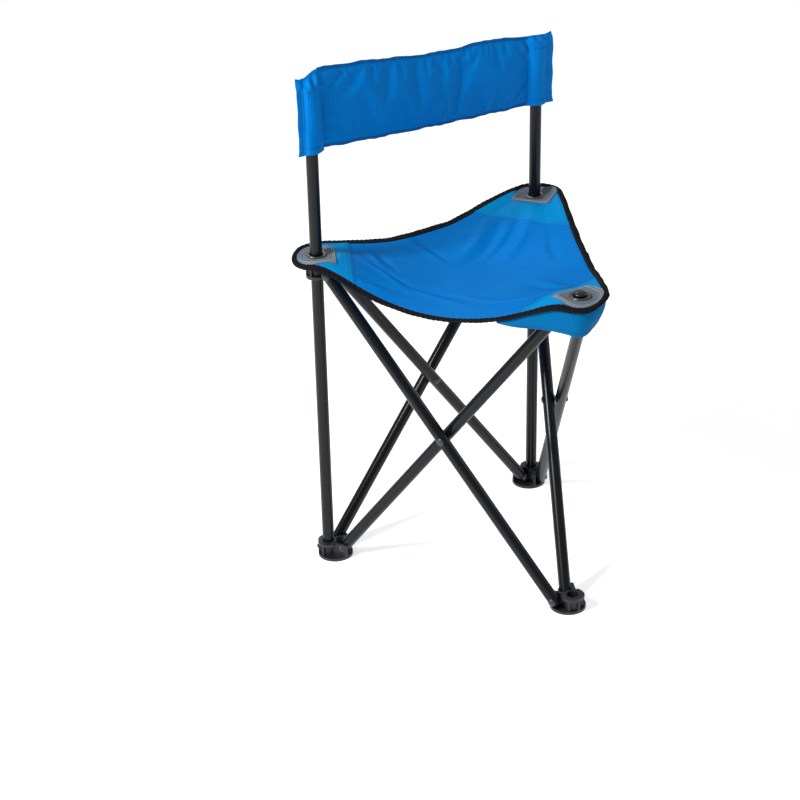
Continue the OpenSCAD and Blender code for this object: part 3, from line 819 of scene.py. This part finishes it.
def settled(front, back, free, frames=24, pressure=3.0, growth=0.016, cap=0.009):
    """Lets two layers of cloth that are sewn round their edges fill out: the cloth is cut a little larger
    than its sewn outline and blown up, and no point moves further than the cap."""
    verts, faces = slab(front, back)
    mesh = bpy.data.meshes.new("settling")
    mesh.from_pydata(verts.tolist(), [], [f for block in faces for f in block.tolist()])
    obj = added("settling", mesh)
    scene = bpy.context.scene
    sewn = np.flatnonzero(~np.concatenate([free.ravel(), free.ravel()]))
    obj.vertex_groups.new(name="sewn").add(sewn.tolist(), 1.0, "REPLACE")
    m = obj.modifiers.new("cloth", "CLOTH")
    m.settings.quality = 8
    m.settings.mass = 0.15
    m.settings.use_pressure = True
    m.settings.uniform_pressure_force = pressure
    m.settings.shrink_min = m.settings.shrink_max = -growth
    m.settings.bending_stiffness = 2.5
    m.settings.vertex_group_mass = "sewn"
    m.settings.effector_weights.gravity = 0
    m.collision_settings.use_collision = False
    m.point_cache.frame_start, m.point_cache.frame_end = 1, frames
    for frame_number in range(1, frames + 1):
        scene.frame_set(frame_number)
    done = obj.evaluated_get(bpy.context.evaluated_depsgraph_get()).data
    co = np.zeros(len(verts) * 3, np.float32)
    done.vertices.foreach_get("co", co)
    bpy.data.objects.remove(obj)
    scene.frame_set(1)
    moved = co.reshape(-1, 3).astype(float) - verts
    size = np.linalg.norm(moved, axis=1)[:, None]
    verts = verts + moved * np.minimum(1, cap / np.maximum(size, 1e-9))
    half = len(verts) // 2
    return verts[:half].reshape(front.shape), verts[half:].reshape(front.shape)


PANEL_FAR = POST_X - 0.0120
# a seam's distance from the edge, as a share of the panel's height
SEAM_SHARE = 0.005 / 0.105


def panel_edge(share):
    """Heights of the panel's lower and upper edges at a share of the way from the left sleeve to the right:
    straight lines, with a little slack in the middle and a hump near the right end."""
    low = SLEEVE_LOW + 0.009 * (1 - share) - 0.0034 * 4 * share * (1 - share) \
        + 0.0006 * np.sin(share * 41)
    high = SLEEVE_TOP["left"] + 0.003 + (SLEEVE_TOP["right"] - SLEEVE_TOP["left"] - 0.003) * share \
        - 0.0042 * np.exp(-((share - 0.5) / 0.2) ** 2) + 0.0028 * np.exp(-((share - 0.8) / 0.09) ** 2) \
        + 0.0006 * np.sin(share * 37)
    return low, high


def backrest_panel():
    """Two layers of cloth sewn together a seam's width inside their upper and lower edges and at the sleeves,
    filled out by the cloth simulation, then cut at the middle so that each half rides on its own post."""
    nu, nv = 81, 27
    share = np.linspace(0, 1, nu)
    low, high = panel_edge(share)
    v = np.concatenate([[0], np.linspace(SEAM_SHARE, 1 - SEAM_SHARE, nv - 2), [1]])
    z = low + (high - low) * v[:, None]
    x = np.broadcast_to(-PANEL_FAR + 2 * PANEL_FAR * share, z.shape)
    bow = 0.003 * (1 - (2 * share - 1) ** 2)
    slack = 0.0012 * np.sin(9 * share + 4 * v[:, None]) * np.sin(math.pi * v)[:, None]
    free = np.zeros(z.shape, bool)
    free[2:-2, 1:-1] = True
    apart = np.where(free, 0.0011, 0.0004)
    y = POST_Y + bow + slack
    front, back = np.stack([x, y - apart, z], -1), np.stack([x, y + apart, z], -1)
    front, back = settled(front, back, free)
    for rows, sign in ((slice(0, 1), 1), (slice(-1, None), -1)):
        ripple = 0.0009 * np.sin(share * 96 + 2 * np.sin(share * 23)) * sign
        front[rows, :, 1] += ripple
        back[rows, :, 1] += ripple
    front, back = finer(front, 3), finer(back, 3)
    middle = front.shape[1] // 2
    for side, sign, cols in (("left", -1, slice(0, middle + 1)), ("right", 1, slice(middle, None))):
        f, b = front[:, cols], back[:, cols]
        verts, faces = slab(f, b)
        uv = np.stack([f[..., 0], f[..., 2]], -1).reshape(-1, 2)
        # the three rows along each edge, outside the seams, take the darker pair: painted shade along the
        # hems
        hem = np.zeros(f.shape[:2])
        hem[:3] = hem[-3:] = 1
        p = Piece(f"backrest_panel_{side}")
        p.add(verts, right_way(verts, faces), np.concatenate([uv, uv]),
              painted_light_share=np.concatenate([hem.ravel()] * 2))
        ends = (1, 6) if side == "left" else (-2, -7)
        for where in [2, -3] + [(slice(4, -4), col) for col in ends]:
            stitches(p, f[where] - (0, 0.0003, 0), (0, -1, 0))
            stitches(p, b[where] + (0, 0.0003, 0), (0, 1, 0))
        obj = p.make([BACK_BLUE, THREAD_BLUE], f"{side}_foot_and_post", replaces=[f"backrest_{side}"],
                     slot="blue_backrest_cloth")
        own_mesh(obj)


# the top edge's rise at distances outboard of the post
SLEEVE_SHAPE = {
    "left": ((-0.017, 0.0030), (-0.006, 0.0), (0.006, -0.0068), (0.015, -0.0078), (0.027, -0.0030)),
    "right": ((-0.017, 0.0), (-0.006, -0.0006), (0.006, -0.0016), (0.015, -0.0020), (0.027, 0.0012))}
FIN_ANGLE = math.radians(10)
SLEEVE_FIN = {"left": 0.0066, "right": 0.0108}
SLEEVE_END = {"left": SLEEVE_LOW + 0.0062, "right": SLEEVE_LOW}
# half the tunnel's width and depth, and the height above which it is pressed flat
TUNNEL_W, TUNNEL_D = 0.0148, 0.0101
PRESS_FROM = 0.6645
SLEEVE_STEP = 2.5


def sleeve(side):
    """A cloth tunnel round the post. Its section is an oval with a narrow lobe for the sewn fin, turned
    forwards, a shallow valley on each side of it, and a short lobe towards the panel. It is carried up the
    post, pressed flat above it and sewn shut along an uneven top edge."""
    sign = -1 if side == "left" else 1
    count, rows = int(360 / SLEEVE_STEP), 90
    turn = np.radians(np.arange(count) * SLEEVE_STEP)

    def lobe(at, width):
        away = (turn - at + math.pi) % math.tau - math.pi
        return np.exp(-(away / width) ** 2)

    # turn runs from outboard (0) towards the front (positive)
    oval = TUNNEL_W * TUNNEL_D / np.hypot(TUNNEL_D * np.cos(turn), TUNNEL_W * np.sin(turn))
    base = oval + SLEEVE_FIN[side] * lobe(FIN_ANGLE, 0.085) + 0.0026 * lobe(math.pi, 0.20) \
        - 0.0008 * lobe(FIN_ANGLE + 0.36, 0.16) - 0.0008 * lobe(FIN_ANGLE - 0.36, 0.16)
    t = np.linspace(0, 1, rows)[:, None]
    fin_wave = 1 + 0.022 * np.sin(t * 17 + 1.0) * lobe(FIN_ANGLE, 0.10)
    bulge = 1 + 0.045 * np.sin(t * 7.5 + 2.1 * turn) * (1 - lobe(FIN_ANGLE, 0.3))
    hem = 1 + 0.05 * np.exp(-(t / 0.035) ** 2) - 0.03 * np.exp(-((t - 0.085) / 0.012) ** 2)
    r = base * fin_wave * bulge * hem
    spread, forward = r * np.cos(turn), r * np.sin(turn)
    top = SLEEVE_TOP[side] + np.interp(spread, *np.array(SLEEVE_SHAPE[side]).T)
    low = SLEEVE_END[side] - 0.0012 * lobe(FIN_ANGLE, 0.3) + 0.0004 * np.sin(3 * turn)
    z = low + (top - low) * t
    press = ramp(z, PRESS_FROM, top - PRESS_FROM)
    press = press * press * (3 - 2 * press)
    crease = 0.0016 * press * (1 - press) * 4 * np.sin(spread * 520)
    y = forward * (1 - 0.90 * press) + crease
    outer = np.stack([POST_X * sign + sign * spread, POST_Y - y, z], -1)
    depth_row = int(np.argmax(z.min(axis=1) > PRESS_FROM - 0.001))
    inner = outer[:depth_row].copy()
    shrink = ((r - 0.0008) / r)[:depth_row]
    inner[..., 0] = POST_X * sign + sign * spread[:depth_row] * shrink
    inner[..., 1] = POST_Y - forward[:depth_row] * shrink
    inner = inner[:: max(1, depth_row // 12)]
    k, m = rows * count, len(inner)
    c = np.arange(count)
    n = (c + 1) % count
    pairs = np.arange(1, count // 2)
    strip = np.stack([pairs, pairs + 1, (count - pairs - 1) % count, (count - pairs) % count], -1)[:-1]
    tips = [np.array([[0, 1, count - 1]]), np.array([[count // 2 - 1, count // 2, count // 2 + 1]])]
    faces = [quads(rows, count, True), quads(m, count, True)[:, ::-1] + k,
             np.stack([k + c, k + n, n, c], -1)]
    for start, flip in (((rows - 1) * count, False), (k + (m - 1) * count, True)):
        for block in [strip] + tips:
            faces.append((block[:, ::-1] if flip else block) + start)
    v = np.concatenate([outer.reshape(-1, 3), inner.reshape(-1, 3)])
    ring = run_length(base[:, None] * np.stack([np.cos(turn), np.sin(turn)], -1))
    uv = np.stack([np.tile(ring, rows + m), v[:, 2]], -1)
    p = Piece(f"sleeve_cloth_{side}")
    p.add(v, right_way(v, faces), uv)
    body_rows = slice(2, int(rows * 0.84))
    for beside in (0.26, -0.26):
        line = outer[body_rows, int(math.degrees(FIN_ANGLE + beside) / SLEEVE_STEP)]
        away = line[len(line) // 2] - (POST_X * sign, POST_Y, line[len(line) // 2, 2])
        stitches(p, line + away / np.linalg.norm(away) * 0.0002, away)
    arc = slice(int(math.degrees(FIN_ANGLE + 0.34) / SLEEVE_STEP), int(152 / SLEEVE_STEP))
    for row in (int(rows * 0.085), int(rows * 0.83)):
        line = outer[row, arc]
        away = line - (POST_X * sign, POST_Y, 0)
        away[:, 2] = 0
        stitches(p, line + away / np.linalg.norm(away, axis=1)[:, None] * 0.0002, (0, -1, 0))
    obj = p.make([BACK_BLUE, THREAD_BLUE], f"{side}_foot_and_post", sharp=55, replaces=[f"sleeve_{side}"],
                 slot="blue_backrest_cloth")


# ---- frame finishes ----

def softened(name, material, width, sharp=32):
    """A copy of a hard frame node with its edges rounded over, standing in its place."""
    source = frame["nodes"][name]
    mesh = source.data.copy()
    bm = bmesh.new()
    bm.from_mesh(mesh)
    bmesh.ops.remove_doubles(bm, verts=bm.verts, dist=2e-6)
    bmesh.ops.dissolve_limit(bm, angle_limit=math.radians(1.0), verts=bm.verts, edges=bm.edges)
    bmesh.ops.recalc_face_normals(bm, faces=bm.faces)
    bm.to_mesh(mesh)
    bm.free()
    mesh.name = f"{name}_finished"
    mesh.materials.clear()
    mesh.materials.append(material)
    mesh.polygons.foreach_set("use_smooth", np.ones(len(mesh.polygons), bool))
    mesh.set_sharp_from_angle(angle=math.radians(sharp))
    obj = added(f"{name}_finished", mesh)
    b = obj.modifiers.new("rounded", "BEVEL")
    b.width, b.segments, b.limit_method, b.angle_limit = width, 2, "ANGLE", math.radians(sharp)
    b.harden_normals = False
    b.use_clamp_overlap = True
    body = next(k for k, v in frame["record"]["behaviour"]["bodies"].items() if name in v)
    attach(obj, body)
    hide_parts(name)


MOULDED_EDGE = 0.0006
# the start of a node's name, its finish, and how far its edges are rounded; the first that fits is taken
FINISHES = (("tube_", TUBE_BLACK, 0), ("post_left", TUBE_BLACK, 0), ("post_right", TUBE_BLACK, 0),
            ("post_", MOULD_BLACK, 0), ("foot_rivets", RIVET_BLACK, 0), ("hub_rivets", RIVET_BLACK, 0),
            ("cross_rivet", RIVET_BLACK, 0), ("cross_washer", WASHER_STEEL, 0),
            ("foot_", MOULD_BLACK, MOULDED_EDGE), ("hub_", MOULD_BLACK, MOULDED_EDGE))


def frame_finishes():
    """Gives the frame's own nodes their finishes, and rounds the mouldings' edges."""
    for name, obj in frame["nodes"].items():
        for start, material, width in FINISHES:
            if name.startswith(start):
                if width:
                    softened(name, material, width)
                else:
                    obj.data.materials.clear()
                    obj.data.materials.append(material)
                break


# ---- floor, lights, camera ----

FLOOR_HALF = 6.0
AIM = np.array([0, 0, 0.35])
# each lamp's name, place, size and power
LAMPS = (("key", (-2.1, 0.1, 1.9), 0.45, 76), ("fill", (2.2, -1.0, 1.6), 1.2, 9),
         ("rim", (0.9, 2.3, 2.3), 0.7, 11))
# the white surroundings: their light, and what is added where they are seen directly
SKY_LIGHT, SKY_SEEN = 0.40, 0.55


def stood(name, data, at, side, up, back):
    """A lamp or camera in the scene, by its place and the directions of its own axes."""
    obj = added(name, data)
    obj.matrix_world = Matrix([[side[k], up[k], back[k], at[k]] for k in range(3)] + [[0, 0, 0, 1]])
    return obj


def studio():
    """Pale floor, even white surroundings, and three soft lamps aimed at the stool's middle."""
    bpy.context.scene.view_settings.view_transform = "Standard"
    mesh = bpy.data.meshes.new("floor")
    s = FLOOR_HALF
    mesh.from_pydata([(-s, -s, 0), (s, -s, 0), (s, s, 0), (-s, s, 0)], [], [(0, 1, 2, 3)])
    pale = blank("floor_pale", {"Roughness": 0.9, "Base Color": (0.9, 0.9, 0.9, 1),
                                "Emission Color": (1, 1, 1, 1), "Emission Strength": 0.5})[0]
    mesh.materials.append(pale)
    added("floor", mesh)
    world = bpy.data.worlds.new("studio")
    bpy.context.scene.world = world
    world.use_nodes = True
    tree = world.node_tree
    sky = tree.nodes["Background"]
    sky.inputs["Color"].default_value = (1, 1, 1, 1)
    seen = node(tree, "ShaderNodeLightPath").outputs["Is Camera Ray"]
    tree.links.new(math_node(tree, "MULTIPLY_ADD", seen, SKY_SEEN, SKY_LIGHT), sky.inputs["Strength"])
    for name, at, size, power in LAMPS:
        data = bpy.data.lights.new(name, "AREA")
        data.energy, data.size = power, size
        back = np.array(at) - AIM
        back /= np.linalg.norm(back)
        side = np.cross((0, 0, 1), back)
        side /= np.linalg.norm(side)
        stood(name, data, at, side, np.cross(back, side), back)


def camera():
    """Stands off at the left front, a little above the seat, and turned very slightly about its own axis."""
    azimuth, elevation, roll = np.radians([-34.516, 26.353, -1.273])
    distance, aside, height = 2.48278, -0.10304, 0.22706
    side = np.array([math.cos(azimuth), math.sin(azimuth), 0])
    back = np.array([math.sin(azimuth) * math.cos(elevation), -math.cos(azimuth) * math.cos(elevation),
                     math.sin(elevation)])
    up = np.cross(back, side)
    at = side * aside + (0, SHIFT_Y, height) + back * distance
    turned_side = side * math.cos(roll) + up * math.sin(roll)
    turned_up = up * math.cos(roll) - side * math.sin(roll)
    data = bpy.data.cameras.new("camera")
    data.lens, data.sensor_width = 83.14, 36.0
    bpy.context.scene.camera = stood("camera", data, at, turned_side, turned_up, back)


camera()
studio()
frame_finishes()
for name in CORNERS:
    trims = binding(name)
    trims["grommet"] = grommet(name)
    seat_cloth(name)
    patch(name)
knob()
pocket()
for name in ("left", "right"):
    sleeve(name)
backrest_panel()
